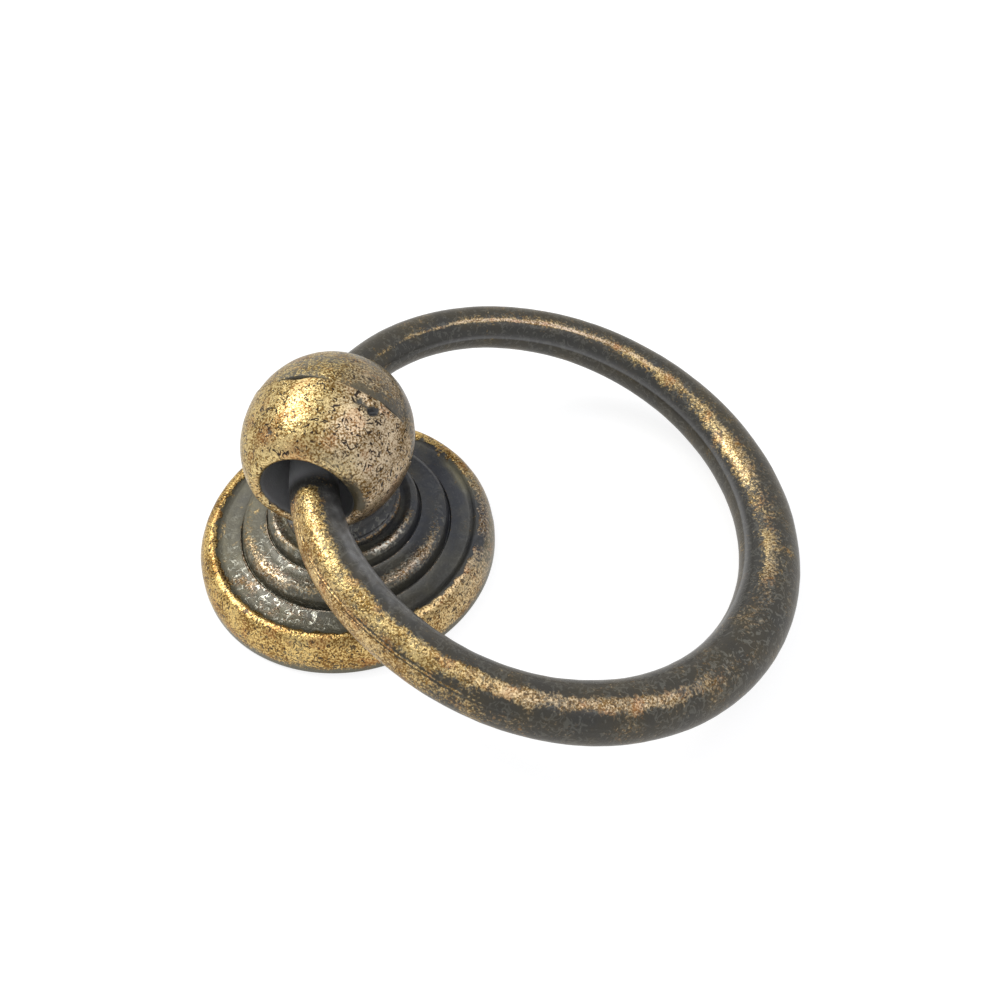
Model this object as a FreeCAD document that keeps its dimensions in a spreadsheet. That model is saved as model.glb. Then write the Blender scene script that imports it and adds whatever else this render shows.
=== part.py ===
import FreeCAD, Part
import math
import os
import re
import Sketcher

# Ring pull for a drawer or cupboard door: a stepped round rosette, an oval ball
# on a short post that stands on it, and a loose ring through the ball's bore.
# Millimetres, +Z away from the door. The origin is the middle of the rosette's
# back, where the screw enters. The bore runs along Y, and at rest the ring lies
# over towards +X, with its far end just above the plane of the back.

SIZES = [
    # rosette, outside
    ("base_radius", 15.0, "rosette, outer radius"),
    ("foot_round", 0.35, "rounding where the rosette meets the door"),
    ("side_height", 1.15, "straight side below the rim's shoulder"),
    ("rim_height", 4.25, "top of the rim above the back"),
    ("rim_width", 1.8, "outer edge to the crest of the rim"),
    ("rim_top_round", 1.25, "radius of the rim over its crest"),
    ("rim_lip_width", 0.52, "crest to the rim's inner edge"),
    ("rim_lip_round", 0.5, "radius of the rim's inner side"),
    ("dish_height", 3.8, "flat ring inside the rim, above the back"),
    # rosette, steps
    ("step_1_radius", 10.35, "foot of the lower step"),
    ("step_1_riser", 0.95, "upright side of the lower step"),
    ("step_1_round", 0.95, "shoulder of the lower step"),
    ("step_1_height", 1.95, "rise from the flat ring to the upper step's foot"),
    ("step_2_radius", 7.5, "foot of the upper step"),
    ("step_2_riser", 0.75, "upright side of the upper step"),
    ("step_2_round", 0.75, "shoulder of the upper step"),
    ("step_2_height", 1.55, "rise of the upper step to its crest"),
    ("step_draft", 0.06, "how far each riser leans in"),
    ("shoulder_fall", 0.15, "rise of a step's top behind its shoulder"),
    ("seat_depth", 0.35, "seat of the post below the upper step's crest"),
    # rosette, back
    ("recess_depth", 1.7, "hollow in the back"),
    ("recess_draft", 0.25, "lean of the hollow's two walls"),
    ("foot_width", 2.2, "flat rim of the back that bears on the door"),
    ("boss_wall", 2.6, "flat boss of the back around the post's spigot"),
    # ball and post
    ("ball_height", 16.33, "centre of the ball above the back"),
    ("ball_across", 7.8, "ball, half size across the bore"),
    ("ball_along", 8.88, "ball, half size along the bore"),
    ("ball_up", 7.41, "ball, half size along the post"),
    ("bore_radius", 3.98, "cross bore for the ring"),
    ("mouth_round", 0.72, "rounded edge of the bore's two mouths"),
    ("neck_radius", 4.6, "post just below the ball"),
    ("neck_height", 2.3, "seat to the straight part of the neck"),
    ("neck_sweep", 2.4, "radius of the hollow between collar and neck"),
    ("collar_radius", 5.7, "collar that stands on the upper step"),
    ("collar_side", 0.45, "upright side of the collar"),
    ("collar_round", 0.45, "rounded top edge of the collar"),
    ("spigot_radius", 3.75, "spigot through the rosette"),
    ("spigot_gap", 0.05, "clearance around the spigot"),
    ("screw_radius", 1.65, "bare hole for an M4 thread"),
    ("screw_depth", 8.2, "depth of the threaded hole"),
    # ring
    ("ring_radius", 22.76, "ring, to the middle of the wire"),
    ("wire_at_ball", 2.16, "wire radius inside the ball"),
    ("wire_at_side", 2.5, "wire radius a quarter turn on"),
    ("wire_at_end", 2.96, "wire radius at the far end"),
    ("hang_back", 1.42, "wire's thinnest point, back from the bore's axis"),
    ("hang_along", 2.0, "wire's thinnest point, along the bore from the ball's middle"),
    ("hang_down", 0.71, "wire's thinnest point, below the bore's axis"),
    ("ring_yaw", 2.8, "ring askew in its loose bore, degrees"),
    ("ring_roll", -1.45, "ring's lean to one side, degrees"),
    ("floor_gap", 0.5, "ring's far end above the plane of the back"),
]

doc = FreeCAD.newDocument("ring_pull")
sheet = doc.addObject("Spreadsheet::Sheet", "sizes")
for row, (alias, value, meaning) in enumerate(SIZES, start=1):
    sheet.set(f"A{row}", alias)
    sheet.set(f"B{row}", str(value))
    sheet.setAlias(f"B{row}", alias)
    sheet.set(f"C{row}", meaning)
doc.recompute()

# Heights and radii that follow from the driving sizes, as formulas in the same sheet.
FORMULAS = [
    ("crest_radius", "base_radius - rim_width"),
    ("shoulder_drop", "rim_height - rim_top_round - side_height"),
    ("shoulder_radius", "(rim_width^2 + shoulder_drop^2 - rim_top_round^2)"
                        " / (2 * (rim_width - rim_top_round))"),
    ("shoulder_share", "rim_top_round / (shoulder_radius - rim_top_round)"),
    ("step_2_foot", "dish_height + step_1_height"),
    ("step_2_crest", "step_2_foot + step_2_height"),
    ("seat_height", "step_2_crest - seat_depth"),
    ("hole_radius", "spigot_radius + spigot_gap"),
    ("boss_radius", "hole_radius + boss_wall"),
    ("foot_radius", "base_radius - foot_round - foot_width"),
    ("neck_level", "seat_height + neck_height"),
    ("wire_height", "ball_height - hang_down"),
    ("ring_drop", "(wire_height - wire_at_end - floor_gap) / ring_radius"),
    ("ring_tilt", "asin(ring_drop / 2"
                  " - sin(ring_roll)^2 * (1 - ring_drop^2 / 4) / (2 * ring_drop))"),
]
for row, (alias, formula) in enumerate(FORMULAS, start=len(SIZES) + 2):
    sheet.set(f"A{row}", alias)
    sheet.set(f"B{row}", "=" + formula)
    sheet.setAlias(f"B{row}", alias)
doc.recompute()


def size(name):
    """Value of one named size."""
    value = sheet.get(name)
    return float(getattr(value, "Value", value))


def formula_of(text):
    """Turn a formula of bare size names into one that reads the sheet."""
    names = {row[0] for row in SIZES + FORMULAS}
    return re.sub(r"[a-z_][a-z_0-9]*", lambda m: "sizes." + m[0] if m[0] in names else m[0], text)


def amount(text):
    """Number that a formula of size names gives."""
    value = sheet.evalExpression(formula_of(text))
    return float(getattr(value, "Value", value))


def origin_plane(body, role):
    """One of the body's own origin planes."""
    return next(item for item in body.Origin.OriginFeatures if item.Role == role)


def new_body(label):
    """Body whose label names its file."""
    body = doc.addObject("PartDesign::Body", label)
    body.Label = label
    return body


def new_sketch(body, name, role):
    """Sketch on one of the body's origin planes."""
    sketch = body.newObject("Sketcher::SketchObject", name)
    sketch.AttachmentSupport = (origin_plane(body, role), "")
    sketch.MapMode = "FlatFace"
    doc.recompute()
    return sketch


def arc_between(start, end, radius, bulge):
    """Arc of a radius from start to end; bulge 1 turns left, -1 turns right."""
    half = (end - start) * 0.5
    reach = math.sqrt(max(radius ** 2 - half.Length ** 2, 0.0))
    across = FreeCAD.Vector(-half.y, half.x, 0).normalize()
    centre = start + half + across * reach * bulge
    angles = [math.atan2(p.y - centre.y, p.x - centre.x) for p in (start, end)]
    if bulge < 0:
        angles.reverse()
    circle = Part.Circle(centre, FreeCAD.Vector(0, 0, 1), radius)
    return Part.ArcOfCircle(circle, angles[0], angles[1])


def bind(sketch, parts, text):
    """Add a constraint whose value is a formula of size names."""
    index = sketch.addConstraint(Sketcher.Constraint(*parts, amount(text)))
    sketch.setExpression(f"Constraints[{index}]", formula_of(text))


def place_point(sketch, geometry, end, place):
    """Fix a point of a sketch at a place given by two formulas of size names."""
    for kind, text, axis in (("DistanceX", place[0], -2), ("DistanceY", place[1], -1)):
        if text == "0":
            sketch.addConstraint(Sketcher.Constraint("PointOnObject", geometry, end, axis))
        else:
            bind(sketch, (kind, -1, 1, geometry, end), text)


def closed_profile(sketch, corners):
    """Closed outline through corners (x, y, edge to the next corner).

    x and y are formulas of size names. An edge is None for a straight line, or
    (radius formula, bulge), where bulge 1 turns left and -1 turns right.
    """
    points = [FreeCAD.Vector(amount(x), amount(y), 0) for x, y, edge in corners]
    ends = []
    for index, (x, y, edge) in enumerate(corners):
        start, end = points[index], points[(index + 1) % len(points)]
        if edge is None:
            sketch.addGeometry(Part.LineSegment(start, end))
            ends.append((1, 2))
        else:
            radius, bulge = edge
            sketch.addGeometry(arc_between(start, end, amount(radius), bulge))
            ends.append((1, 2) if bulge > 0 else (2, 1))
            bind(sketch, ("Radius", index), radius)
    for index, (x, y, edge) in enumerate(corners):
        before = (index - 1) % len(corners)
        sketch.addConstraint(
            Sketcher.Constraint("Coincident", before, ends[before][1], index, ends[index][0]))
        place_point(sketch, index, ends[index][0], (x, y))


def revolve(body, sketch, name):
    """Full turn of a profile about the post's axis."""
    turn = body.newObject("PartDesign::Revolution", name)
    turn.Profile = sketch
    turn.ReferenceAxis = (sketch, ["V_Axis"])
    turn.Angle = 360
    doc.recompute()
    return turn


# Rosette: one turned profile, from the spigot's hole round the hollow back, the
# bold rim and the two rounded steps to the shallow seat of the post.
rosette = new_body("rosette")
section = new_sketch(rosette, "rosette_section", "XZ_Plane")
ROSETTE = [
    ("hole_radius", "0", None),
    ("boss_radius", "0", None),
    ("boss_radius + recess_draft", "recess_depth", None),
    ("foot_radius - recess_draft", "recess_depth", None),
    ("foot_radius", "0", None),
    ("base_radius - foot_round", "0", ("foot_round", 1)),
    ("base_radius", "foot_round", None),
    ("base_radius", "side_height", ("shoulder_radius", 1)),
    ("crest_radius + shoulder_share * (shoulder_radius - rim_width)",
     "rim_height - rim_top_round + shoulder_share * shoulder_drop", ("rim_top_round", 1)),
    ("crest_radius", "rim_height", ("rim_lip_round", 1)),
    ("crest_radius - rim_lip_width", "dish_height", None),
    ("step_1_radius", "dish_height", None),
    ("step_1_radius - step_draft", "dish_height + step_1_riser", ("step_1_round", 1)),
    ("step_1_radius - step_draft - step_1_round", "step_2_foot - shoulder_fall", None),
    ("step_2_radius", "step_2_foot", None),
    ("step_2_radius - step_draft", "step_2_foot + step_2_riser", ("step_2_round", 1)),
    ("step_2_radius - step_draft - step_2_round", "step_2_crest", None),
    ("collar_radius + seat_depth", "seat_height", None),
    ("hole_radius", "seat_height", None),
]
closed_profile(section, ROSETTE)
revolve(rosette, section, "rosette_turned")

# Ball and post: a turned post with spigot, collar and hollow neck, an oval ball
# on top, the cross bore with rounded mouths, and the screw's hole from the back.
ball_post = new_body("ball_post")
post = new_sketch(ball_post, "post_section", "XZ_Plane")
POST = [
    ("0", "0", None),
    ("spigot_radius", "0", None),
    ("spigot_radius", "seat_height", None),
    ("collar_radius", "seat_height", None),
    ("collar_radius", "seat_height + collar_side", ("collar_round", 1)),
    ("collar_radius - collar_round", "seat_height + collar_side + collar_round",
     ("neck_sweep", -1)),
    ("neck_radius", "neck_level", None),
    ("neck_radius", "ball_height - bore_radius", None),
    ("0", "ball_height - bore_radius", None),
]
closed_profile(post, POST)
revolve(ball_post, post, "post_turned")

ball = ball_post.newObject("PartDesign::AdditiveEllipsoid", "ball")
ball.setExpression("Radius1", "sizes.ball_up")
ball.setExpression("Radius2", "sizes.ball_across")
ball.setExpression("Radius3", "sizes.ball_along")
ball.setExpression("Placement.Base.z", "sizes.ball_height")
doc.recompute()

bore_circle = new_sketch(ball_post, "bore_circle", "XZ_Plane")
bore_circle.addGeometry(Part.Circle(FreeCAD.Vector(0, size("ball_height"), 0),
                                    FreeCAD.Vector(0, 0, 1), size("bore_radius")))
bore_circle.addConstraint(Sketcher.Constraint("PointOnObject", 0, 3, -2))
bind(bore_circle, ("DistanceY", -1, 1, 0, 3), "ball_height")
bind(bore_circle, ("Radius", 0), "bore_radius")
bore = ball_post.newObject("PartDesign::Pocket", "bore")
bore.Profile = bore_circle
bore.Midplane = True
bore.setExpression("Length", "4 * sizes.ball_along")
doc.recompute()

# The two mouths are the only closed edges of the bore that lie on the ball.
mouths = [f"Edge{number}" for number, edge in enumerate(bore.Shape.Edges, start=1)
          if abs(edge.BoundBox.XLength - 2 * size("bore_radius")) < 0.05
          and abs(edge.BoundBox.ZLength - 2 * size("bore_radius")) < 0.05]
rounding = ball_post.newObject("PartDesign::Fillet", "mouth_rounding")
rounding.Base = (bore, mouths)
rounding.setExpression("Radius", "sizes.mouth_round")
doc.recompute()

screw_circle = new_sketch(ball_post, "screw_circle", "XY_Plane")
screw_circle.addGeometry(Part.Circle(FreeCAD.Vector(0, 0, 0), FreeCAD.Vector(0, 0, 1),
                                     size("screw_radius")))
screw_circle.addConstraint(Sketcher.Constraint("Coincident", 0, 3, -1, 1))
bind(screw_circle, ("Radius", 0), "screw_radius")
screw_hole = ball_post.newObject("PartDesign::Pocket", "screw_hole")
screw_hole.Profile = screw_circle
screw_hole.Reversed = True
screw_hole.setExpression("Length", "sizes.screw_depth")
doc.recompute()

# Ring: half of a tapered round wire, swept through three sections and mirrored.
# Its own frame has the wire's middle, inside the ball, at the origin, and the
# ring's centre on +X.
ring = new_body("ring")
path = new_sketch(ring, "ring_path", "XY_Plane")
centre = FreeCAD.Vector(size("ring_radius"), 0, 0)
path.addGeometry(Part.ArcOfCircle(
    Part.Circle(centre, FreeCAD.Vector(0, 0, 1), size("ring_radius")), 0, math.pi))
path.addConstraint(Sketcher.Constraint("PointOnObject", 0, 3, -1))
path.addConstraint(Sketcher.Constraint("PointOnObject", 0, 1, -1))
path.addConstraint(Sketcher.Constraint("Coincident", 0, 2, -1, 1))
bind(path, ("Radius", 0), "ring_radius")


def wire_section(name, role, place, radius):
    """Round section of the wire: place is its centre in the sketch, as two formulas."""
    sketch = new_sketch(ring, name, role)
    at = FreeCAD.Vector(amount(place[0]), amount(place[1]), 0)
    sketch.addGeometry(Part.Circle(at, FreeCAD.Vector(0, 0, 1), amount(radius)))
    place_point(sketch, 0, 3, place)
    bind(sketch, ("Radius", 0), radius)
    return sketch


at_ball = wire_section("wire_at_ball_section", "XZ_Plane", ("0", "0"), "wire_at_ball")
at_end = wire_section("wire_at_end_section", "XZ_Plane", ("2 * ring_radius", "0"), "wire_at_end")
at_side = wire_section("wire_at_side_section", "YZ_Plane", ("ring_radius", "0"), "wire_at_side")
at_side.setExpression("AttachmentOffset.Base.z", "sizes.ring_radius")
doc.recompute()
half_ring = ring.newObject("PartDesign::AdditivePipe", "half_ring")
half_ring.Profile = at_ball
half_ring.Spine = (path, ["Edge1"])
half_ring.Sections = [(at_side, [""]), (at_end, [""])]
half_ring.Transformation = "Multisection"
doc.recompute()
whole_ring = ring.newObject("PartDesign::Mirrored", "whole_ring")
whole_ring.Originals = [half_ring]
whole_ring.MirrorPlane = (origin_plane(ring, "XZ_Plane"), [""])
ring.Tip = whole_ring
doc.recompute()

# At rest the ring leans in its bore and lies tilted, its far end by the door's plane.
ring.setExpression(
    "Placement",
    "placement(vector(-sizes.hang_back; sizes.hang_along; sizes.wire_height); "
    "rotation(sizes.ring_yaw; sizes.ring_tilt; sizes.ring_roll))")
doc.recompute()

bodies = [rosette, ball_post, ring]
for item in doc.Objects:
    if "Invalid" in item.State or "Error" in item.State:
        raise RuntimeError(f"{item.Name}: {item.State}")
for body in bodies:
    if body.Shape.isNull() or not body.Shape.isValid() or len(body.Shape.Solids) != 1:
        raise RuntimeError(f"{body.Label} is not one valid solid")

os.makedirs("parts", exist_ok=True)
for body in bodies:
    body.Shape.exportStep(f"parts/{body.Label}.step")
    box = body.Shape.BoundBox
    print(f"{body.Label}: {body.Shape.Volume:.1f} mm3, z {box.ZMin:.3f} to {box.ZMax:.3f}, "
          f"x {box.XMin:.2f} to {box.XMax:.2f}, y {box.YMin:.2f} to {box.YMax:.2f}")
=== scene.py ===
import bmesh
import bpy
import numpy as np
from mathutils import Matrix


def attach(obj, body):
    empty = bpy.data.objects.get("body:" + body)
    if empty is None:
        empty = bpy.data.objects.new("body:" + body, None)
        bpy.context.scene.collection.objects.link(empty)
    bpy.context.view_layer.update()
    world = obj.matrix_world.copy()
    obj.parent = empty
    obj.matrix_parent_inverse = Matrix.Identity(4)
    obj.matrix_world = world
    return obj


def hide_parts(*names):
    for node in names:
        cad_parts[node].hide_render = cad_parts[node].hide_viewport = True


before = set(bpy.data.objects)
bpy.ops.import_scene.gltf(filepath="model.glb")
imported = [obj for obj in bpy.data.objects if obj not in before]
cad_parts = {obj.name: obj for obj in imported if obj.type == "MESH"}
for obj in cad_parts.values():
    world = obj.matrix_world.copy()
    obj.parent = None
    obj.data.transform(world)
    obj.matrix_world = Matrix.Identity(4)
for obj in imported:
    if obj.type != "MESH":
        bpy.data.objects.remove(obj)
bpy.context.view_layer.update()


# Rosette: the stepped round plate that sits on the door. It is cast brass, turned
# on its face, blackened all over and rubbed back, so the rim and the shoulders of
# the two steps shine and the flat ring between them stays dark.

def curve_between(start, end, radius, bulge, count):
    """Points of an arc from start to end, without its end.

    The arc's middle lies on the chord's upright bisector, at the height that
    Pythagoras gives. Bulge 1 turns left and -1 turns right; radius 0 is a line.
    """
    start, end = np.array(start, float), np.array(end, float)
    share = np.linspace(0, 1, count, endpoint=False)[:, None]
    if radius == 0:
        return start + share * (end - start)
    half = (end - start) / 2
    reach = np.sqrt(max(radius ** 2 - half @ half, 0))
    across = np.array([-half[1], half[0]]) / np.sqrt(half @ half)
    middle = start + half + across * reach * bulge
    first = np.arctan2(*(start - middle)[::-1])
    last = np.arctan2(*(end - middle)[::-1])
    turn = (last - first) * bulge % (2 * np.pi) * bulge
    angle = first + share[:, 0] * turn
    return middle + radius * np.stack([np.cos(angle), np.sin(angle)], axis=1)


def profile(corners):
    """Closed outline (radius, height) from corners (radius, height, arc, bulge, points)."""
    ends = corners[1:] + corners[:1]
    return np.concatenate([curve_between(a[:2], b[:2], a[2], a[3], a[4])
                           for a, b in zip(corners, ends)])


def turned(outline, columns):
    """Outline turned about Z: x = r cos(angle), y = r sin(angle), z as it is."""
    angle = np.linspace(0, 2 * np.pi, columns, endpoint=False)
    radius, height = outline[:, :1], outline[:, 1:]
    return np.stack([radius * np.cos(angle), radius * np.sin(angle),
                     height + 0 * angle], axis=2)


def outward(points):
    """Unit normals of a closed grid: the cross product of its two central differences."""
    along = np.roll(points, -1, 0) - np.roll(points, 1, 0)
    across = np.roll(points, -1, 1) - np.roll(points, 1, 1)
    normal = np.cross(across, along)
    return normal / np.maximum(np.linalg.norm(normal, axis=2, keepdims=True), 1e-9)


WAVE_COUNT = 20
# Twice the root mean square of a sum of 20 sine waves, which brings the sum to about 1.
WAVE_REACH = 6.3


def waves(points, length, seed, octaves=1):
    """Smooth unevenness, about -1 to 1.

    It is a sum of sine waves in random directions, each about as long as the
    length in mm. Every further octave halves the length and the height.
    """
    draw = np.random.default_rng(seed)
    total = np.zeros(points.shape[:-1])
    for octave in range(octaves):
        direction = draw.normal(size=(WAVE_COUNT, 3))
        direction /= np.linalg.norm(direction, axis=1, keepdims=True)
        direction *= 2 * np.pi / length * draw.uniform(0.7, 1.4, (WAVE_COUNT, 1))
        phase = draw.uniform(0, 2 * np.pi, WAVE_COUNT)
        total += np.sin(points @ direction.T + phase).sum(-1) / WAVE_REACH * 0.5 ** octave
        length /= 2
    return total


def step(low, high, value):
    """Smooth rise from 0 at low to 1 at high: 3 t squared less 2 t cubed."""
    share = np.clip((value - low) / (high - low), 0, 1)
    return share * share * (3 - 2 * share)


def bump(middle, width, value):
    """Bell curve of height 1: e to the power of minus the squared distance in widths."""
    return np.exp(-((value - middle) / width) ** 2)


# Shapes are worked out in millimetres, and Blender gets them in metres.
MM = 0.001


def grid_piece(name, points, masks, open_rows=False):
    """Piece whose surface is a grid of points in mm, closed across and along.

    Each quad joins a point to its neighbours in the next column and row. With open
    rows the last row isn't joined to the first, and a row whose points are all in one
    place becomes the pole of a fan. The masks are kept as attributes.
    """
    rows, columns = points.shape[:2]
    index = np.arange(rows * columns).reshape(rows, columns)
    beside = np.roll(index, -1, 1)
    quads = np.stack([index, beside, np.roll(beside, -1, 0), np.roll(index, -1, 0)], axis=2)
    if open_rows:
        quads = quads[:-1]
    mesh = bpy.data.meshes.new(name)
    mesh.from_pydata((points.reshape(-1, 3) * MM).tolist(), [], quads.reshape(-1, 4).tolist())
    for mask, values in masks.items():
        spread = np.broadcast_to(values, (rows, columns)).astype(np.float32)
        mesh.attributes.new(mask, "FLOAT", "POINT").data.foreach_set("value", spread.ravel())
    if open_rows:
        form = bmesh.new()
        form.from_mesh(mesh)
        bmesh.ops.remove_doubles(form, verts=form.verts, dist=1e-8)
        form.to_mesh(mesh)
        form.free()
    mesh.shade_smooth()
    piece = bpy.data.objects.new(name, mesh)
    bpy.context.collection.objects.link(piece)
    return piece


def linear(code):
    """sRGB hex colour as linear red, green, blue and alpha 1."""
    parts = np.array([int(code[i:i + 2], 16) for i in (1, 3, 5)]) / 255
    parts = np.where(parts <= 0.04045, parts / 12.92, ((parts + 0.055) / 1.055) ** 2.4)
    return (*parts.tolist(), 1.0)


def add_node(tree, kind, inputs=None, **settings):
    """One node with its settings; each input takes a value or another node's output."""
    node = tree.nodes.new(kind)
    for name, value in settings.items():
        setattr(node, name, value)
    for key, value in (inputs or {}).items():
        if isinstance(value, bpy.types.NodeSocket):
            tree.links.new(value, node.inputs[key])
        else:
            node.inputs[key].default_value = value
    return node


def antique_brass(name, gold, shade, pale, olive, cool, bright_roughness, dark_roughness, speck_mm):
    """Brass under a dark patina that is rubbed away where the wear mask is high.

    Short curved dark marks of about speck_mm stay in the brass. The piece's own
    attributes steer it: wear, tone (patina 0 cool, 1 olive), pale (brass 0 gold,
    1 silvery), speck (how strong the dark marks are), scuff (how strong the fine
    bright scratches are), red, and dull (a flat grey for untouched metal, painted pale
    to stand in for light in shade, and for painted reflections).
    """
    material = bpy.data.materials.new(name)
    material.use_nodes = True
    tree = material.node_tree
    tree.nodes.clear()
    # The copper-red stains, the fine scratches, the dirt in the marks, a flat pale grey
    # that paints untouched metal lighter to stand in for light in the bore and a reflection
    # on the ring, and the warm grey that the patina gives its reflections.
    copper, bare_metal, dirt, skin_grey_and_painted_light, sheen = (
        linear(code) for code in ("#a8683c", "#b4b3a6", "#30241a", "#a2a2a3", "#c4bcae"))
    place = add_node(tree, "ShaderNodeTexCoord").outputs["Object"]
    wear, tone, silver, speck, scuff, red, dull_and_painted_light = (
        add_node(tree, "ShaderNodeAttribute", attribute_name=mask).outputs["Fac"]
        for mask in ("wear", "tone", "pale", "speck", "scuff", "red", "dull_and_painted_light"))

    # Blotches of the patina bath are 1 to 3 mm across, the marks that the rubbing wheel
    # leaves are a few tenths of a millimetre, and the grain of the cast is finer still.
    blotch = add_node(tree, "ShaderNodeTexNoise",
                      {"Vector": place, "Scale": 1 / (2.6 * MM), "Detail": 4.0, "Roughness": 0.6})
    fine = add_node(tree, "ShaderNodeTexNoise",
                    {"Vector": place, "Scale": 1 / (1.1 * speck_mm * MM), "Detail": 2.0,
                     "Distortion": 0.5})
    grain = add_node(tree, "ShaderNodeTexNoise",
                     {"Vector": place, "Scale": 1 / (0.7 * speck_mm * MM), "Detail": 1.5})
    curl = add_node(tree, "ShaderNodeTexNoise",
                    {"Vector": place, "Scale": 1 / (2.6 * speck_mm * MM), "Detail": 1.0,
                     "Distortion": 0.7})
    gate = add_node(tree, "ShaderNodeTexNoise",
                    {"Vector": place, "Scale": 1 / (2.3 * speck_mm * MM), "Detail": 0.0})

    # A mark is where the curl noise crosses one of its levels, cut short by the gate, or
    # a small chip where the fine noise is at its highest.
    level = add_node(tree, "ShaderNodeMath", {0: curl.outputs[0], 1: 2.8}, operation="MULTIPLY")
    level = add_node(tree, "ShaderNodeMath", {0: level.outputs[0], 1: 0.5}, operation="PINGPONG")
    line = add_node(tree, "ShaderNodeMapRange",
                    {"Value": level.outputs[0], "From Min": 0.07, "From Max": 0.16,
                     "To Min": 1.0, "To Max": 0.0}, interpolation_type="SMOOTHSTEP")
    open_gate = add_node(tree, "ShaderNodeMapRange",
                         {"Value": gate.outputs[0], "From Min": 0.44, "From Max": 0.5},
                         interpolation_type="SMOOTHSTEP")
    marks = add_node(tree, "ShaderNodeMath", {0: line.outputs[0], 1: open_gate.outputs[0]},
                     operation="MULTIPLY")
    chips = add_node(tree, "ShaderNodeMapRange",
                     {"Value": fine.outputs[0], "From Min": 0.64, "From Max": 0.69},
                     interpolation_type="SMOOTHSTEP")
    marks = add_node(tree, "ShaderNodeMath", {0: marks.outputs[0], 1: chips.outputs[0]},
                     operation="MAXIMUM")
    marks = add_node(tree, "ShaderNodeMath", {0: marks.outputs[0], 1: speck}, operation="MULTIPLY",
                     use_clamp=True)

    # Fine bright scratches lie where the same noise is midway between two marks.
    scratch = add_node(tree, "ShaderNodeMapRange",
                       {"Value": level.outputs[0], "From Min": 0.26, "From Max": 0.46},
                       interpolation_type="SMOOTHSTEP")
    scratch = add_node(tree, "ShaderNodeMath", {0: scratch.outputs[0], 1: open_gate.outputs[0]},
                       operation="MULTIPLY")
    scratch = add_node(tree, "ShaderNodeMath", {0: scratch.outputs[0], 1: scuff}, operation="MULTIPLY",
                       use_clamp=True)

    # Rubbed share: wear, moved up and down by blotches and grain, then sharpened.
    share = add_node(tree, "ShaderNodeMath", {0: blotch.outputs[0], 1: 0.9, 2: -0.45},
                     operation="MULTIPLY_ADD")
    share = add_node(tree, "ShaderNodeMath", {0: share.outputs[0], 1: wear}, operation="ADD")
    share = add_node(tree, "ShaderNodeMath", {0: fine.outputs[0], 1: 1.3, 2: share.outputs[0]},
                     operation="MULTIPLY_ADD")
    rubbed = add_node(tree, "ShaderNodeMapRange",
                      {"Value": share.outputs[0], "From Min": 0.9, "From Max": 1.4},
                      interpolation_type="SMOOTHSTEP")

    # Colours: the patina turns from blue-black to olive, the brass from gold to silver.
    toned = add_node(tree, "ShaderNodeMath", {0: blotch.outputs[0], 1: 0.8, 2: -0.4},
                     operation="MULTIPLY_ADD")
    toned = add_node(tree, "ShaderNodeMath", {0: toned.outputs[0], 1: tone}, operation="ADD",
                     use_clamp=True)
    patina = add_node(tree, "ShaderNodeMix", {0: toned.outputs[0], 6: linear(cool), 7: linear(olive)},
                      data_type="RGBA")
    warmth = add_node(tree, "ShaderNodeMath", {0: blotch.outputs[0], 1: 0.7, 2: grain.outputs[0]},
                      operation="MULTIPLY_ADD")
    warmth = add_node(tree, "ShaderNodeMapRange",
                      {"Value": warmth.outputs[0], "From Min": 0.74, "From Max": 0.98})
    brass = add_node(tree, "ShaderNodeMix", {0: silver, 6: linear(gold), 7: linear(pale)},
                     data_type="RGBA")
    brass = add_node(tree, "ShaderNodeMix", {0: warmth.outputs[0], 6: brass.outputs[2], 7: linear(shade)},
                     data_type="RGBA", blend_type="MULTIPLY")
    brass = add_node(tree, "ShaderNodeMix", {0: red, 6: brass.outputs[2], 7: copper},
                     data_type="RGBA")
    colour = add_node(tree, "ShaderNodeMix",
                      {0: rubbed.outputs[0], 6: patina.outputs[2], 7: brass.outputs[2]},
                      data_type="RGBA")
    colour = add_node(tree, "ShaderNodeMix",
                      {0: scratch.outputs[0], 6: colour.outputs[2], 7: bare_metal},
                      data_type="RGBA")
    shown = add_node(tree, "ShaderNodeMapRange",
                     {"Value": rubbed.outputs[0], "To Min": 0.3, "To Max": 1.0})
    shown = add_node(tree, "ShaderNodeMath", {0: shown.outputs[0], 1: marks.outputs[0]},
                     operation="MULTIPLY")
    colour = add_node(tree, "ShaderNodeMix",
                      {0: shown.outputs[0], 6: colour.outputs[2], 7: dirt},
                      data_type="RGBA")
    colour = add_node(tree, "ShaderNodeMix", {0: dull_and_painted_light, 6: colour.outputs[2], 7: skin_grey_and_painted_light},
                      data_type="RGBA")

    # Bare brass is all metal and the smoother, and the patina is a half-metallic satin.
    bare = add_node(tree, "ShaderNodeMath", {0: rubbed.outputs[0], 1: scratch.outputs[0]},
                    operation="MAXIMUM")
    bare = add_node(tree, "ShaderNodeMath", {0: marks.outputs[0], 1: -0.7, 2: bare.outputs[0]},
                    operation="MULTIPLY_ADD", use_clamp=True)
    roughness = add_node(tree, "ShaderNodeMapRange",
                         {"Value": bare.outputs[0], "To Min": dark_roughness,
                          "To Max": bright_roughness})
    metallic = add_node(tree, "ShaderNodeMapRange",
                        {"Value": bare.outputs[0], "To Min": 0.45, "To Max": 1.0})
    metallic = add_node(tree, "ShaderNodeMath", {0: dull_and_painted_light, 1: -0.45, 2: metallic.outputs[0]},
                        operation="MULTIPLY_ADD")

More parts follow.
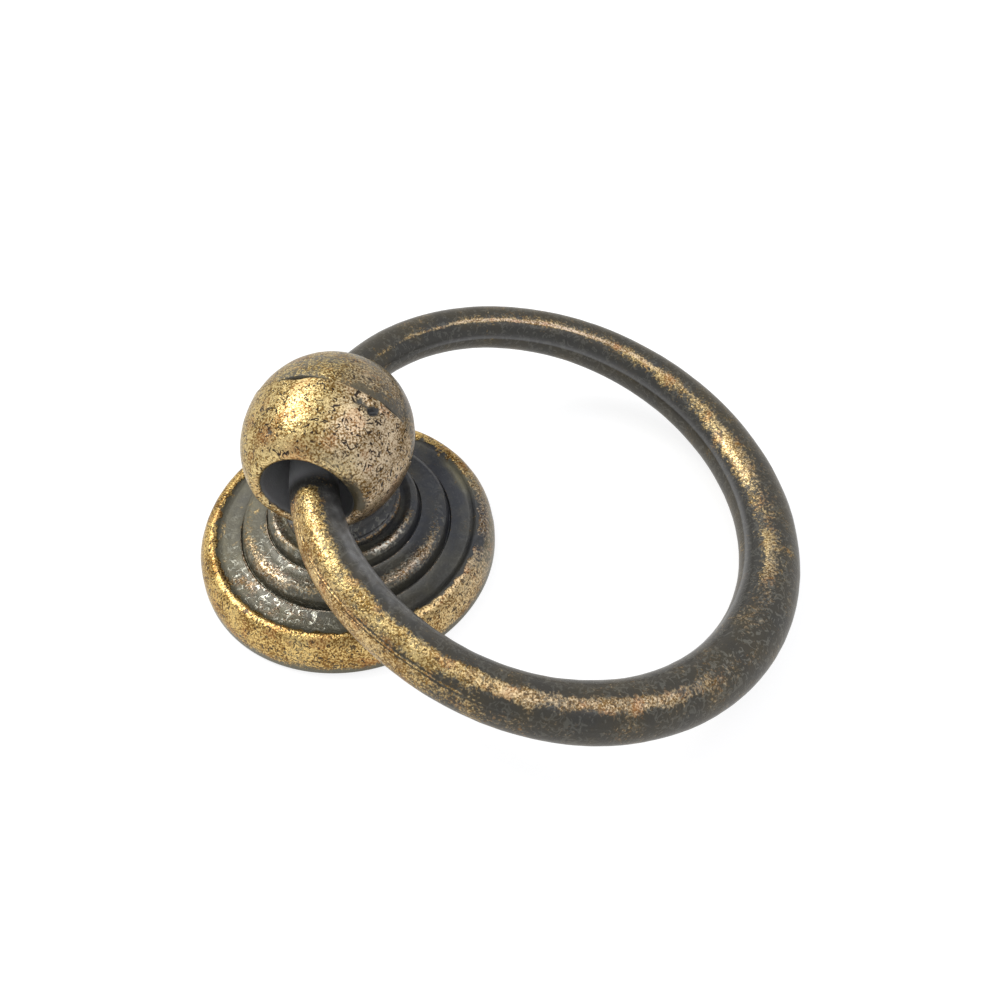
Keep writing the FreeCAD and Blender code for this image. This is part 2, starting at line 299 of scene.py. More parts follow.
    # The marks are shallow pits, and the grain of the casting shows through everywhere.
    # A thin coat of wax lies over the whole.
    height = add_node(tree, "ShaderNodeMath", {0: grain.outputs[0], 1: 0.7, 2: bare.outputs[0]},
                      operation="MULTIPLY_ADD")
    relief = add_node(tree, "ShaderNodeBump",
                      {"Strength": 0.8, "Distance": 0.00006, "Height": height.outputs[0]})
    shader = add_node(tree, "ShaderNodeBsdfPrincipled",
                      {"Base Color": colour.outputs[2], "Metallic": metallic.outputs[0],
                       "Roughness": roughness.outputs[0], "Normal": relief.outputs[0],
                       "Coat Weight": 0.3, "Coat Roughness": 0.18,
                       "Specular Tint": sheen, "Specular IOR Level": 0.35})
    add_node(tree, "ShaderNodeOutputMaterial", {"Surface": shader.outputs[0]})
    return material


PLATE_RADIUS, POST_HOLE_RADIUS, SEAT_LEVEL = 15.0, 3.8, 6.95
ROSETTE_COLUMNS = 400
# Radius and level of the bead at the foot of each step, rubbed and with a painted highlight line, and the
# notch in the rim.
FIRST_BEAD, SECOND_BEAD = (10.57, 3.93), (7.7, 5.83)
NOTCH_ANGLE, NOTCH_REACH, NOTCH_DEPTH = -1, 13.9, 0.3

# Radius and height of each corner, then radius, bulge and points of the edge after it.
# The outline runs from the boss and the hollow of the back round the rim, and up over
# both steps, each with a thin bead and a groove at its foot, to the hole for the post.
rosette_outline = profile([
    (POST_HOLE_RADIUS, 0.0, 0, 0, 6),
    (6.4, 0.0, 0, 0, 6),
    (6.65, 1.7, 0, 0, 12),
    (12.2, 1.7, 0, 0, 6),
    (12.45, 0.0, 0, 0, 6),
    (14.65, 0.0, 0.35, 1, 6),
    (PLATE_RADIUS, 0.35, 0, 0, 6),
    (PLATE_RADIUS, 1.15, 4.636, 1, 18),
    (14.234, 3.682, 1.25, 1, 24),
    (13.2, 4.25, 0.9, 1, 8),
    (12.82, 4.0, 0.9, -1, 8),
    (12.3, 3.79, 0, 0, 14),
    (11.6, 3.79, 4.0, -1, 10),
    (10.66, 3.93, 0, 0, 3),
    (10.57, 3.98, 0, 0, 3),
    (10.48, 3.91, 0, 0, 3),
    (10.41, 3.66, 0, 0, 3),
    (10.35, 3.7, 0, 0, 3),
    (10.34, 3.98, 0, 0, 8),
    (10.29, 4.75, 0.95, 1, 18),
    (9.34, 5.6, 0, 0, 8),
    (8.5, 5.64, 2.4, -1, 8),
    (7.80, 5.78, 0, 0, 3),
    (7.70, 5.84, 0, 0, 3),
    (7.62, 5.77, 0, 0, 3),
    (7.56, 5.56, 0, 0, 3),
    (7.50, 5.62, 0, 0, 3),
    (7.49, 5.92, 0, 0, 6),
    (7.44, 6.5, 0.75, 1, 16),
    (6.69, 7.3, 0, 0, 6),
    (6.05, SEAT_LEVEL, 0, 0, 6),
    (POST_HOLE_RADIUS, SEAT_LEVEL, 0, 0, 5),
    (POST_HOLE_RADIUS, 5.0, 0, 0, 5),
])

# Angles run round the plate: 0 is the right, where the ring lies, -90 the front and
# 180 the left.
rosette_surface = turned(rosette_outline, ROSETTE_COLUMNS)
reach = np.hypot(rosette_surface[..., 0], rosette_surface[..., 1])
level = rosette_surface[..., 2]
around = np.degrees(np.arctan2(rosette_surface[..., 1], rosette_surface[..., 0]))
face = step(0.6, 1.6, level) * step(5.9, 6.1, reach)
uneven = 0.035 * (waves(rosette_surface, 9, 1) - 1) + 0.014 * waves(rosette_surface, 2.2, 2, 2)
notch = bump(NOTCH_ANGLE, 2.6, around) * bump(NOTCH_REACH, 0.5, reach) * step(2.5, 3.2, level)
dip = face * uneven - NOTCH_DEPTH * notch
rosette_surface = rosette_surface + outward(rosette_surface) * dip[..., None]

# The left and the front are handled most, and their patina is painted lighter as
# though lit, while the right is painted dark as though in shade; the rubbing thins
# out to a few silvery flecks there. Fine white scratches lie close together on the flat
# rings in front, with a highlight painted in among them, and the flat ring is worn
# through in spots on the left.
patch = waves(rosette_surface, 5.5, 3, 3)
ragged = waves(rosette_surface, 1.4, 5, 2)
# More rubbing towards the left and front; the patina there is also painted lighter, as lit, and darker on
# the right, as shaded.
handled_and_lit = 0.5 - 0.5 * np.cos(np.radians(around - 45))
dark_side = bump(-5, 42, around)
# The rim's rubbing ends inwards at a ragged line, which lies further out on the right.
inner_edge = 12.68 + 0.55 * dark_side + 0.12 * patch + 0.2 * ragged
rim = step(0, 0.35, reach - inner_edge) * step(0.1, 1.5, level)
shoulder_1 = bump(9.5, 0.72, reach) * step(4.6, 5.1, level)
shoulder_2 = bump(6.85, 0.45, reach) * step(6.2, 6.7, level)
dish = (1 - step(12.4, 12.9, reach)) * step(3.4, 3.7, level)
left_steps = bump(-125, 42, around)
right_steps = bump(-32, 31, around)
bare_right = bump(12, 22, around)
# The rim's gold is cut back in front and added on the left: painted shade in front and painted light on
# the left.
rim_wear = (0.9 - 0.13 * bump(-90, 35, around) + 0.1 * bump(165, 35, around)
            - 0.12 * dark_side - 0.3 * bare_right - 0.25 * bump(45, 30, around))
rosette_wear = (rim * rim_wear + shoulder_1 * (0.62 * left_steps + 0.72 * right_steps)
                + shoulder_2 * (0.5 * left_steps + 0.65 * right_steps))
# The beads are rubbed, and a thin painted highlight line runs along them.
beads_rubbed_and_glint = (bump(SECOND_BEAD[0], 0.09, reach) * bump(SECOND_BEAD[1], 0.15, level)
         + bump(FIRST_BEAD[0], 0.1, reach) * bump(FIRST_BEAD[1], 0.15, level))
rosette_wear = rosette_wear + 0.85 * beads_rubbed_and_glint * (0.3 + 0.7 * handled_and_lit)
rosette_wear = rosette_wear - 0.8 * bump(NOTCH_ANGLE, 2.2, around) * bump(NOTCH_REACH - 0.1, 0.45, reach)
rosette_wear = rosette_wear * (0.75 + 0.25 * step(0.2, 2.4, level))
# Fine scratches, with a painted highlight among them where the left lamp's reflection falls on the flat
# rings in front.
streaks_and_painted_glint = (bump(-110, 28, around) * (bump(11.5, 1.3, reach) + 0.8 * bump(8.8, 0.5, reach)
                                           + bump(7.9, 0.35, reach))
                 + bump(-145, 15, around) * bump(6.5, 0.5, reach) + bump(-38, 14, around) * shoulder_2)
rosette_wear = rosette_wear + dish * streaks_and_painted_glint * (0.4 + 0.2 * ragged)
worn_spots = step(0.25, 0.7, waves(rosette_surface, 2.4, 6, 2))
rosette_wear = rosette_wear + 0.45 * dish * bump(-165, 35, around) * worn_spots
rosette_tone = (0.05 + 0.75 * handled_and_lit + 0.9 * bump(38, 14, around) * step(11.8, 12.6, reach)
                + 0.15 * patch + step(14.2, 14.6, reach))
silvery = 0.5 * left_steps + 0.95 * right_steps + 0.8 * beads_rubbed_and_glint + dish * streaks_and_painted_glint
rosette_pale = (1 - rim) * silvery + 0.5 * rim * (dark_side + bare_right)
rosette_speck = 0.25 + 0.6 * rim + 0.3 * (shoulder_1 + shoulder_2) + 0.9 * dish * streaks_and_painted_glint
# The scratches are strongest in front, where they also carry the painted highlight.
rosette_scuff = (dish * (0.05 + 0.4 * bump(-115, 40, around) + 1.3 * streaks_and_painted_glint)
                 + 0.6 * right_steps * (shoulder_1 + shoulder_2)) * (0.7 + 0.4 * ragged)
rosette_red = 0.3 * step(0.45, 0.9, waves(rosette_surface, 3.0, 4, 2)) * rim
rosette = grid_piece("rosette_turned", rosette_surface,
                     {"wear": rosette_wear, "tone": rosette_tone, "pale": rosette_pale,
                      "speck": rosette_speck, "scuff": rosette_scuff, "red": rosette_red,
                      "dull_and_painted_light": 0.0})

# Antique brass, blackened and rubbed on a soft wheel: a gold rim full of dark specks
# against a flat ring with a satin, nearly black patina that is scratched white in front,
# where a highlight is painted in among the scratches.
rosette.data.materials.append(antique_brass(
    "Antique brass, turned plate", gold="#e7c67e", shade="#8c7652", pale="#cfbfab", olive="#6b6755",
    cool="#404247", bright_roughness=0.34, dark_roughness=0.44, speck_mm=0.25))
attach(rosette, "mount")
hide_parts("rosette")


# Post: the turned stem under the ball, with its collar on the upper step and its
# spigot through the plate, tapped from behind for the screw. Same cast brass, left
# dark because the rubbing wheel never reaches it.

POST_COLUMNS = 192
SPIGOT_RADIUS, COLLAR_RADIUS, NECK_RADIUS = 3.75, 5.7, 4.6
HOLE_RADIUS, HOLE_DEPTH, HOLE_CHAMFER = 1.65, 8.2, 0.3
THREAD_PITCH, THREAD_DEPTH = 0.7, 0.33
STEM_TOP = 11.3

# From the end of the hole down its wall, round the spigot and the collar, and up the
# neck to a flat top that the ball hides.
post_outline = profile([
    (0.0, HOLE_DEPTH, 0, 0, 3),
    (HOLE_RADIUS, HOLE_DEPTH, 0, 0, 130),
    (HOLE_RADIUS, HOLE_CHAMFER, 0, 0, 4),
    (2.0, 0.0, 0, 0, 5),
    (3.5, 0.0, 0, 0, 4),
    (SPIGOT_RADIUS, 0.25, 0, 0, 8),
    (SPIGOT_RADIUS, SEAT_LEVEL, 0, 0, 6),
    (COLLAR_RADIUS, SEAT_LEVEL, 0, 0, 6),
    (COLLAR_RADIUS, 7.4, 0.45, 1, 10),
    (5.25, 7.85, 2.4, -1, 22),
    (NECK_RADIUS, 9.25, 0, 0, 14),
    (NECK_RADIUS, STEM_TOP, 0, 0, 1),
])
post_outline = np.vstack([post_outline, [[0.0, STEM_TOP]]])
post_surface = turned(post_outline, POST_COLUMNS)
reach = np.hypot(post_surface[..., 0], post_surface[..., 1])
level = post_surface[..., 2]
turn = np.arctan2(post_surface[..., 1], post_surface[..., 0]) / (2 * np.pi)
in_hole = (reach < HOLE_RADIUS + 0.05) & (level < HOLE_DEPTH - 0.05) & (level > HOLE_CHAMFER)
# Metric thread: the wall rises and falls as a triangle along its helix.
ridge = np.abs((level / THREAD_PITCH + turn) % 1 - 0.5) * 2
growth = np.where(in_hole, 1 + THREAD_DEPTH * ridge / HOLE_RADIUS, 1.0)
post_surface = post_surface * np.stack([growth, growth, np.ones_like(growth)], axis=2)
post_wear = 0.1 + 0.3 * bump(5.65, 0.2, reach) * bump(7.6, 0.3, level)
post = grid_piece("post_turned", post_surface,
                  {"wear": post_wear, "tone": 0.25, "pale": 0.3, "speck": 0.3, "scuff": 0.2, "red": 0.0,
                   "dull_and_painted_light": 0.0},
                  open_rows=True)

# The same antique brass where it is left in its patina: satin and blue-black.
post.data.materials.append(antique_brass(
    "Antique brass, dark stem", gold="#c9a566", shade="#bfa888", pale="#b9a997", olive="#57544a",
    cool="#404247", bright_roughness=0.38, dark_roughness=0.46, speck_mm=0.3))
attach(post, "mount")
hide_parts("ball_post")


# Ball: two cast brass halves joined across the bore, a little proud of each other at
# the seam, and drilled right through for the ring. Handling and the wheel have rubbed
# the front half bright, and the back half is also painted darker at its top as shade;
# dark specks and short curled marks are left all over it.

# Height of the middle, and the oval's half widths across the bore, along it and upwards.
BALL_MIDDLE = 16.33
HALF_ACROSS, HALF_ALONG, HALF_UP = 7.8, 8.88, 7.41
# Radius of the bore, and of the rounding round each of its mouths.
BORE, MOUTH = 3.98, 0.72
BALL_COLUMNS, SLOPE_ROWS, MOUTH_ROWS, BORE_ROWS = 400, 80, 14, 34
# Middle, width and depth of the two casting pits and of the smaller dents.
DENTS = [((4.98, -1.0, 21.95), 0.36, 0.5), ((5.3, -0.7, 21.75), 0.34, 0.4),
         ((3.95, -0.7, 22.7), 0.4, 0.25), ((4.5, -0.75, 22.35), 0.3, 0.16),
         ((-2.99, -4.81, 21.87), 0.24, 0.2), ((-4.46, -5.61, 20.21), 0.22, 0.16),
         ((3.4, -2.9, 22.7), 0.22, 0.12)]

# The ball's angle runs round the bore: 0 is the right and 90 the top.
ball_turn = np.linspace(-np.pi, np.pi, BALL_COLUMNS, endpoint=False)
degrees = np.degrees(ball_turn)
half_out = 1 / np.hypot(np.cos(ball_turn) / HALF_ACROSS, np.sin(ball_turn) / HALF_UP)
# Slope angle of the oval where a fillet of the mouth's radius just meets the bore,
# found by halving the range 40 times in every column at once.
low, high = np.full(BALL_COLUMNS, 0.5), np.full(BALL_COLUMNS, 1.4)
for halving in range(40):
    middle = (low + high) / 2
    nose_out, nose_along = np.cos(middle) / half_out, np.sin(middle) / HALF_ALONG
    length = np.hypot(nose_out, nose_along)
    gap = half_out * np.cos(middle) - MOUTH * nose_out / length - (BORE + MOUTH)
    low, high = np.where(gap > 0, middle, low), np.where(gap > 0, high, middle)
edge_slope = middle
mouth_y = HALF_ALONG * np.sin(middle) - MOUTH * nose_along / length
lean = np.arctan2(nose_along, nose_out)

# The seam wanders about the middle of the ball, and strays most low on both sides.
seam_loop = 5 * np.stack([np.cos(ball_turn), np.sin(ball_turn), 0 * ball_turn], axis=1)
wander = waves(seam_loop, 3.0, 10, 3)
seam_y = 0.36 + 0.09 * wander + 0.8 * bump(152, 12, degrees) - 1.2 * bump(-3, 8, degrees)
seam_slope = np.arcsin(seam_y / HALF_ALONG)

# Rows of the closed section: over the outside from the far mouth to the near one, round
# the near mouth, back through the bore and round the far mouth.
share = np.linspace(0, 1, SLOPE_ROWS, endpoint=False)[:, None]
back_half = edge_slope + (seam_slope - edge_slope) * (1 - (1 - share) ** 1.5)
front_half = seam_slope + (-edge_slope - seam_slope) * share ** 1.5
slope = np.concatenate([back_half, front_half])
out, along = half_out * np.cos(slope), HALF_ALONG * np.sin(slope)
bend = np.linspace(0, 1, MOUTH_ROWS, endpoint=False)[:, None]
front_arc = lean + bend * (np.pi - lean)
out = np.concatenate([out, BORE + MOUTH + MOUTH * np.cos(front_arc)])
along = np.concatenate([along, -mouth_y - MOUTH * np.sin(front_arc)])
through = np.linspace(-1, 1, BORE_ROWS, endpoint=False)[:, None]
out = np.concatenate([out, np.full((BORE_ROWS, BALL_COLUMNS), BORE)])
along = np.concatenate([along, through * mouth_y])
back_arc = np.pi + bend * (lean - np.pi)
out = np.concatenate([out, BORE + MOUTH + MOUTH * np.cos(back_arc)])
along = np.concatenate([along, mouth_y + MOUTH * np.sin(back_arc)])
ball_surface = np.stack([out * np.cos(ball_turn), along, BALL_MIDDLE + out * np.sin(ball_turn)], axis=2)

# Behind the seam the far half lies lower, and the seam gapes at the top and upper right.
outside = step(BORE + 0.3, BORE + MOUTH, out)
behind = along - seam_y
crack = bump(105, 8, degrees) + 0.5 * bump(38, 7, degrees)
fall = 0.05 + 0.2 * bump(45, 34, degrees)
lip = np.where(behind <= 0, -0.08 * (1 - np.exp(np.minimum(behind, 0) / 0.7)),
               -0.03 - fall * np.exp(-np.maximum(behind, 0) / 1.3))
slit = (0.12 + 0.4 * crack) * bump(0.08, 0.07 + 0.13 * crack, behind)
dents = sum(depth * np.exp(-((ball_surface - spot) ** 2).sum(2) / width ** 2)
            for spot, width, depth in DENTS)
uneven = 0.02 * (waves(ball_surface, 6, 11) - 1) + 0.008 * waves(ball_surface, 1.6, 12, 2)
dip = outside * (lip - slit - dents) + uneven
ball_surface = ball_surface + outward(ball_surface) * dip[..., None]

# Gold on the left and top, silvery brown on the right, dark just behind the seam, and
# less rubbed underneath, where it is also painted darker as shade; one smooth olive spot
# above the mouth runs down its right lip.
patch = waves(ball_surface, 6.0, 13, 3)
front = 1 - step(-0.15, 0.15, behind)
height = (ball_surface[..., 2] - BALL_MIDDLE) / HALF_UP
x, y, z = np.moveaxis(ball_surface, 2, 0)
inside_bore = 1 - step(BORE + 0.05, BORE + 0.25, out)
smooth_spot = np.exp(-(((x - 1.9) / 1.9) ** 2 + ((y + 6.1) / 1.3) ** 2 + ((z - 21.0) / 1.2) ** 2))
smooth_lip = ((1 - step(MOUTH + 0.3, MOUTH + 0.9, out - BORE)) * (y < 0)
              * step(-24, -8, degrees) * step(45, 18, degrees))
# Less rubbed underneath, and painted darker and cooler there as shade.
underside_wear_and_shade = step(-0.3, -0.75, height + 0.4 * step(2, -3, x))
mottle = waves(ball_surface, 2.2, 15, 2)
dark_band = ((1 - front) * bump(0.25, 0.6 + 0.35 * mottle, behind) * step(20, 40, degrees)
             * step(85, 62, degrees) * (0.7 + 0.3 * mottle))
behind_right = (1 - front) * step(-2, 3, x)
# The back half, most of all on the right, is given less wear, which also paints shade on the top back.
ball_wear = (0.6 + 0.32 * front - 0.14 * behind_right + 0.1 * patch) * (1 - 0.8 * underside_wear_and_shade)
ball_wear = (ball_wear - 0.33 * dark_band - 3.2 * dents - 3.0 * slit * outside
             - 0.82 * smooth_lip - 0.25 * smooth_spot)
ball_wear = ball_wear * (1 - inside_bore)
ball_tone = (0.75 - 2.0 * dents - 0.3 * step(2, 7, x) - 0.6 * underside_wear_and_shade - 0.8 * inside_bore
             + 0.15 * patch + 0.3 * smooth_lip)
ball_pale = 0.85 * step(0, 6.5, x + 1.2 * patch) + 0.1 * front + 0.5 * step(-0.1, -0.6, height)
ball_speck = (1.05 + 0.15 * patch) * (1 - 0.7 * smooth_spot) * (1 - 0.9 * smooth_lip) * (1 - inside_bore)
# Copper-red stains: one on the left flank, one above the mouth, and faint ones all over.
ball_red = (0.5 * np.exp(-((ball_surface - (-3.2, -4.9, 21.5)) ** 2).sum(2) / 1.1)
            + 0.45 * np.exp(-((ball_surface - (-0.2, -6.4, 21.4)) ** 2).sum(2) / 1.6)
            + 0.2 * step(0.4, 0.9, waves(ball_surface, 3.0, 14, 2)))
# In the bore the flat grey is painted paler deeper in, as light that lifts the shade there.
ball = grid_piece("ball_bored", ball_surface,
                  {"wear": ball_wear, "tone": ball_tone, "pale": ball_pale, "speck": ball_speck,
                   "scuff": 0.0, "red": ball_red,
                   "dull_and_painted_light": inside_bore * (0.45 + 0.55 * bump(-2.5, 4, y))})

# Antique brass rubbed most of the way back: warm gold with a dense black-brown speckle.
ball.data.materials.append(antique_brass(
    "Antique brass, rubbed ball", gold="#e4cb8c", shade="#8c774e", pale="#cab79c", olive="#665d47",
    cool="#4a4b4c", bright_roughness=0.32, dark_roughness=0.46, speck_mm=0.26))
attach(ball, "mount")
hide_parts("ball_post")


# Ring: round brass wire, cast as one closed ring that is thin inside the ball and
# thick at the far end, where the hand pulls. The casting's parting line runs along
# its outer edge. The upper face is rubbed to gold, with highlights painted along it,
# and the sides keep their patina.

RING_RADIUS = 22.76
# The wire's radius halfway round, and how much it loses in the ball and gains at the
# far end.
WIRE_RADIUS, WIRE_TAPER = 2.53, 0.40
RING_ROWS, WIRE_COLUMNS = 620, 156
# How the ring hangs in the loose bore: turned, leant down to the right and rolled, and
# where the middle of its wire lies in the ball.
RING_TURN = (Matrix.Rotation(np.radians(2.8), 3, "Z") @ Matrix.Rotation(np.radians(15.461), 3, "Y")
             @ Matrix.Rotation(np.radians(-1.45), 3, "X"))
RING_PLACE = np.array([-1.42, 2.0, 15.62])

# The ring's angle is 0 in the ball, -90 in front and 180 at the far end. The wire's angle
# is 0 on the ring's outer edge and 90 on top.
ring_angle = np.linspace(-180, 180, RING_ROWS, endpoint=False)[:, None]
# The columns stand twice as close where the parting line runs.
wire_angle = np.linspace(-180, 180, WIRE_COLUMNS, endpoint=False)[None, :]
wire_angle = wire_angle - 28 * np.sin(np.radians(wire_angle - 18))
theta, psi = np.radians(ring_angle), np.radians(wire_angle)
wire = WIRE_RADIUS - WIRE_TAPER * np.cos(theta) + 0.03 * np.cos(2 * theta)
wire = wire + 0.12 * bump(-42, 16, ring_angle)
# The parting line stands as two thin ridges on the outside, and climbs towards the end.
parting = 15 - 0.45 * (ring_angle + 28)
off_parting = wire_angle - np.clip(parting, 5, 33)
near_parting = bump(-52, 34, ring_angle)
ridges = (bump(4.2, 2, off_parting) + 0.8 * bump(-4.2, 2, off_parting)) * near_parting
wire = wire - 0.04 * bump(0, 9, off_parting) * near_parting + 0.1 * ridges
spread = RING_RADIUS + 0.18 * bump(-38, 15, ring_angle) + wire * np.cos(psi)
ring_local = np.stack([RING_RADIUS - spread * np.cos(theta), spread * np.sin(theta),
                       wire * np.sin(psi) + 0 * theta], axis=2)
uneven = 0.018 * (waves(ring_local, 7, 21) - 1.8) + 0.007 * waves(ring_local, 1.8, 22, 2)
ring_local = ring_local + outward(ring_local) * uneven[..., None]
ring_surface = ring_local @ np.array(RING_TURN).T + RING_PLACE

# Rubbed to gold, and partly a painted highlight: a stripe from the ball down the front,
# which fades along a curve at the mouth, and a patch where the far end begins. A thin
# silvery line along the back joins them; it is a painted highlight of the right lamp.
# The crest of the far end is faintly rubbed. Inside the ball the ring is painted dark and
# grey, as shade.
patch = waves(ring_local, 4.5, 23, 3)
ragged = waves(ring_local, 1.3, 25, 2)
# The stripe's middle moves round the wire with the left lamp's highlight, which it paints in.
middle = np.interp(ring_angle, [-135, -90, -75, -45, -25], [79, 76, 71, 60, 57])
half = np.interp(ring_angle, [-135, -120, -90, -75, -60, -45, -25], [12, 14, 16, 17, 21, 27, 36])
mouth_edge = -20.6 - 1.4 * ((wire_angle - 60) / 40) ** 2
along_stripe = step(-142, -112, ring_angle) * step(0, -1.6, ring_angle - mouth_edge)
off_stripe = (wire_angle - middle + 4 * patch + 3 * ragged) / half
stripe = along_stripe * np.exp(-off_stripe ** 4)
# The line is a painted highlight where the right lamp's reflection runs along the back.
line = bump(80, 48, ring_angle) * (bump(117, 5, wire_angle + 1.5 * patch)
                                   + 0.45 * bump(112, 15, wire_angle + 4 * ragged))
far_crest = step(135, 165, np.abs(ring_angle)) * bump(108, 20, wire_angle + 8 * ragged)
# Degrees round the ring from the middle of the patch.
past_patch = (ring_angle + 30) % 360 - 180
end_patch = bump(0, 24, past_patch + 4 * patch) * bump(134, 19, wire_angle + 5 * ragged)
end_tail = (bump(-35, 9, past_patch) * bump(126, 14, wire_angle)
            + bump(38, 9, past_patch) * bump(118, 12, wire_angle))
outer = (bump(-40, 34, ring_angle) * step(-21, -24, ring_angle)
         * step(55, 30, wire_angle) * step(-80, -40, wire_angle))
bare_outer = outer * (1 - stripe)
groove = (bump(0.4, 2, off_parting) + bump(8.4, 2, off_parting)) * near_parting
back_outer = step(28, 40, ring_angle) * bump(72, 28, wire_angle)
# A painted reflection of the white floor along the ring's inner edge.
painted_edge_reflection = bump(168, 9, wire_angle) * (step(30, 60, ring_angle) + step(-120, -150, ring_angle))
under = bump(-90, 38, wire_angle) * step(25, 45, np.abs(ring_angle))
ring_wear = ((0.72 - 0.2 * step(-75, -100, ring_angle)) * stripe + bare_outer
             + 0.85 * line + 0.8 * end_patch + 0.42 * end_tail + 0.24 * far_crest
             + 0.14 * step(-60, -100, ring_angle) + 0.14 * back_outer + 0.38 * under
             + 0.2 * ridges - 0.45 * groove + 0.08 * patch)
ring_tone = 0.42 + 0.4 * outer + 0.3 * back_outer + 0.3 * patch - 0.5 * step(118, 150, wire_angle)
# Inside the ball the patina is painted cool and dark, as shade.
ring_tone = ring_tone - 0.9 * step(24, 20, np.abs(ring_angle + 2))
ring_tone = ring_tone - 0.4 * bump(-40, 25, ring_angle) * step(85, 115, wire_angle)
lower_front = step(-65, -95, ring_angle) * step(-178, -145, ring_angle)
ring_pale = (0.1 + 0.25 * end_patch + 0.7 * line + 0.6 * lower_front + 0.4 * far_crest
             + 0.2 * back_outer + 0.2 * bare_outer)
ring_speck = 0.28 + 0.4 * np.minimum(stripe + end_patch + outer, 1)
ring_scuff = 0.1 + 0.1 * bump(-140, 30, ring_angle) * bump(85, 40, wire_angle)
ring_red = 0.3 * step(0.3, 0.9, waves(ring_local, 2.6, 24, 2)) + 0.12 * outer + 0.1 * back_outer
# A flat grey is painted inside the ball, where it stands in for the shaded ring, on the
# inner flank in front to paint it lighter, and on the inner edge as a painted
# reflection of the white floor.
in_ball = step(-20.5, -17, ring_angle) * step(8, 0, ring_angle)
inner_flank = bump(-40, 20, ring_angle) * step(85, 115, wire_angle) * (0.8 + 0.5 * ragged)
ring_dull_and_painted_light = 0.95 * in_ball + 0.32 * inner_flank + 0.36 * painted_edge_reflection
ring = grid_piece("ring_wire", ring_surface,
                  {"wear": ring_wear, "tone": ring_tone, "pale": ring_pale,
                   "speck": ring_speck, "scuff": ring_scuff, "red": ring_red,
                   "dull_and_painted_light": ring_dull_and_painted_light})

# Antique brass, mostly left dark: an olive-black satin with a grainy gold stripe, partly
# a painted highlight, and a paler inner edge, which is a painted reflection.
ring.data.materials.append(antique_brass(
    "Antique brass, ring", gold="#efd18b", shade="#93815f", pale="#c4b19a", olive="#4c4536",
    cool="#403f3c", bright_roughness=0.36, dark_roughness=0.42, speck_mm=0.24))
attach(ring, "ring")
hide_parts("ring")


# Floor and backdrop: one white sheet, flat under the pull and curved up all round.
# It is matt, and its white is finished for the camera and for reflections, so the
# pull's own soft shadow stays on it.

SHEET_FLAT, SHEET_CURVE, SHEET_LEVEL = 400, 300, -0.05
SHEET_ROWS, SHEET_COLUMNS = 40, 96

rise = np.linspace(0.03, 1.45, SHEET_ROWS)
sheet_reach = np.concatenate([np.linspace(0.1, SHEET_FLAT, SHEET_ROWS),
                              SHEET_FLAT + SHEET_CURVE * np.sin(rise)])
sheet_level = np.concatenate([np.full(SHEET_ROWS, SHEET_LEVEL),
                              SHEET_LEVEL + SHEET_CURVE * (1 - np.cos(rise))])
sheet_surface = turned(np.stack([sheet_reach, sheet_level], axis=1), SHEET_COLUMNS)[::-1]
sheet = grid_piece("floor_sheet", sheet_surface, {}, open_rows=True)
white = bpy.data.materials.new("White matt sheet")
white.use_nodes = True
tree = white.node_tree
tree.nodes.clear()
matt = add_node(tree, "ShaderNodeBsdfDiffuse", {"Color": linear("#a0a0a0")})
path = add_node(tree, "ShaderNodeLightPath")
seen = add_node(tree, "ShaderNodeMath",
                {0: path.outputs["Is Camera Ray"], 1: path.outputs["Is Glossy Ray"]},
                operation="MAXIMUM")
seen = add_node(tree, "ShaderNodeMath", {0: seen.outputs[0], 1: path.outputs["Is Transmission Ray"]},
                operation="MAXIMUM")
lift = add_node(tree, "ShaderNodeMath", {0: seen.outputs[0], 1: 0.78}, operation="MULTIPLY")
glow = add_node(tree, "ShaderNodeEmission", {"Color": (1, 1, 1, 1), "Strength": lift.outputs[0]})
both = add_node(tree, "ShaderNodeAddShader", {0: matt.outputs[0], 1: glow.outputs[0]})
add_node(tree, "ShaderNodeOutputMaterial", {"Surface": both.outputs[0]})
sheet.data.materials.append(white)


# Studio: a dim even room, one soft square lamp up on the left, a faint one behind it
# and a weaker, wider one on the right, all aimed at the pull.

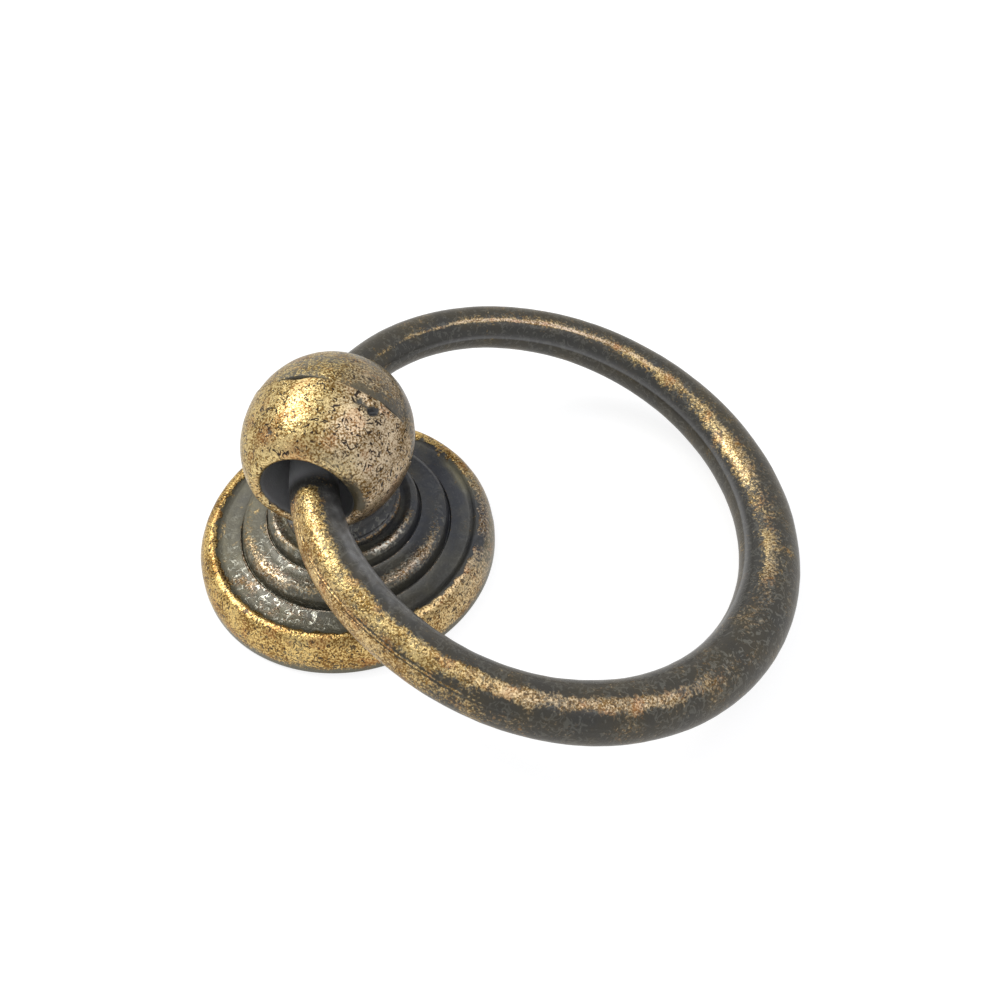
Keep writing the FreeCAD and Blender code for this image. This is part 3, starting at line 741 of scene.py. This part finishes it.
def soft_lamp(name, toward, away, width, power, colour):
    """Square lamp at a distance in mm along a direction, facing the pull, power in W."""
    lamp = bpy.data.lights.new(name, "AREA")
    lamp.shape = "SQUARE"
    lamp.size = width * MM
    lamp.energy = power
    lamp.color = linear(colour)[:3]
    holder = bpy.data.objects.new(name, lamp)
    ray = np.array(toward, float) / np.linalg.norm(toward)
    upward = np.array([0.0, 0.0, 1.0])
    right = np.cross(upward, ray) / np.linalg.norm(np.cross(upward, ray))
    turn = Matrix(np.stack([right, np.cross(ray, right), ray], axis=1).tolist()).to_4x4()
    holder.matrix_world = Matrix.Translation((ray * away * MM).tolist()) @ turn
    bpy.context.collection.objects.link(holder)


soft_lamp("lamp_left", (-0.54, 0.14, 0.83), 420, 165, 0.71, "#fffdf8")
soft_lamp("lamp_back", (-0.41, 0.55, 0.73), 420, 200, 0.16, "#fffdf8")
soft_lamp("lamp_right", (0.48, 0.024, 0.88), 420, 320, 0.4, "#fbf8ff")

world = bpy.data.worlds.new("Dim room")
bpy.context.scene.world = world
world.use_nodes = True
tree = world.node_tree
tree.nodes.clear()
room = add_node(tree, "ShaderNodeBackground", {"Color": linear("#f1f4f8"), "Strength": 0.76})
add_node(tree, "ShaderNodeOutputWorld", {"Surface": room.outputs[0]})


# Camera: it looks down at the pull from the front, a hand's width away. Its place in
# metres and its angles in degrees are fitted to the photograph's outlines.

CAMERA_PLACE = (0.025319, -0.05209, 0.0774)
HEADING, TILT_DOWN, ROLL = 8.516, 47.667, 0.838

camera = bpy.data.cameras.new("camera")
camera.sensor_fit = "HORIZONTAL"
camera.sensor_width = 36.0
camera.lens = 32.4
camera.shift_x, camera.shift_y = -0.0187, -0.0611
camera.clip_start, camera.clip_end = 0.002, 10.0
eye = bpy.data.objects.new("camera", camera)
eye.matrix_world = (Matrix.Translation(CAMERA_PLACE)
                    @ Matrix.Rotation(np.radians(HEADING), 4, "Z")
                    @ Matrix.Rotation(np.radians(90 - TILT_DOWN), 4, "X")
                    @ Matrix.Rotation(np.radians(ROLL), 4, "Z"))
bpy.context.collection.objects.link(eye)
bpy.context.scene.camera = eye
bpy.context.scene.view_settings.view_transform = "Standard"
